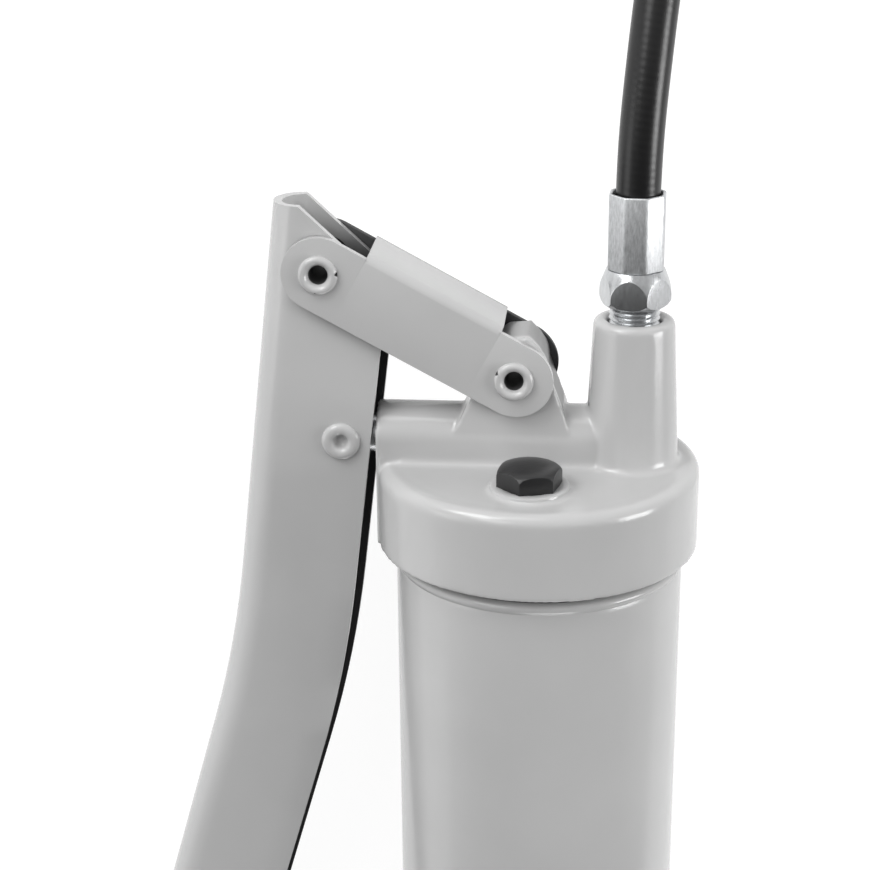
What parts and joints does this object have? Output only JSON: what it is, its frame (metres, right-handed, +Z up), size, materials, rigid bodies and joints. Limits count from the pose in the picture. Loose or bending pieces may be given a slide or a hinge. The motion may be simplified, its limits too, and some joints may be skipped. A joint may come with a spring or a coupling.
{
  "type": "lever grease gun",
  "caption": "Hand grease gun: cast pump head with a link-driven lever, screwed barrel with a spring follower, and a short outlet hose with a jaw coupler.",
  "frame": {"origin": "centre of the footprint of the lying gun without its free hose, on the floor", "axes": "+Y along the barrel from the rod handle to the head, +Z up from the floor on which it lies on its back"},
  "size_m": [0.1318, 0.509, 0.0622],
  "materials": {
    "paint": "semi-gloss grey enamel",
    "zinc": "bright zinc plate",
    "steel": "plain steel",
    "rubber": "black rubber",
    "plug": "black semi-gloss"
  },
  "bodies": {
    "head": {"head_casting": "paint", "barrel_tube": "paint", "barrel_gasket": "rubber", "end_cap": "paint", "follower_spring": "steel", "plunger_seal": "rubber", "bleeder_plug": "plug", "check_spring": "steel", "hose_nipple_head": "zinc", "hose_ferrule_head": "zinc", "hose": "rubber", "hose_ferrule_tip": "zinc", "hose_nipple_tip": "zinc", "coupler_body": "zinc", "coupler_seal": "rubber", "coupler_jaws": "steel", "coupler_sleeve": "zinc"},
    "plunger": {"plunger": "zinc"},
    "lever": {"lever": "paint", "lever_plunger_rivet": "paint"},
    "link": {"link": "paint", "lever_link_rivet": "paint", "link_head_rivet": "paint"},
    "rod": {"follower_rod": "steel", "rod_handle": "steel", "follower_nut": "zinc", "follower_plate_upper": "steel", "follower_cup": "rubber", "follower_plate_lower": "steel"},
    "ball": {"check_ball": "steel"}
  },
  "joints": [
    {"name": "plunger_slide", "type": "slide", "parent": "head", "child": "plunger", "axis": [-0.955, 0, -0.2965], "range_m": [0, 0.0252]},
    {"name": "lever_swing", "type": "hinge", "parent": "plunger", "child": "lever", "pos_m": [-0.00871, 0.11775, 0.01971], "axis": [0.2965, 0, -0.955], "range_deg": [0, 40]},
    {"name": "link_swing", "type": "hinge", "parent": "head", "child": "link", "pos_m": [0.02334, 0.13135, 0.02966], "axis": [0.2965, 0, -0.955], "range_deg": [-7, 0]},
    {"name": "rod_pull", "type": "slide", "parent": "head", "child": "rod", "axis": [0, -1, 0], "range_m": [0, 0.18], "stiffness_N_per_m": 60, "deforming": ["follower_spring"]},
    {"name": "check_lift", "type": "slide", "parent": "head", "child": "ball", "axis": [0, 1, 0], "range_m": [0, 0.0012], "stiffness_N_per_m": 20, "deforming": ["check_spring"]}
  ],
  "couplings": [
    {"joint": "plunger_slide", "follows": "lever_swing", "m_per_rad": 0.0358},
    {"joint": "link_swing", "follows": "lever_swing", "ratio": -0.171}
  ]
}
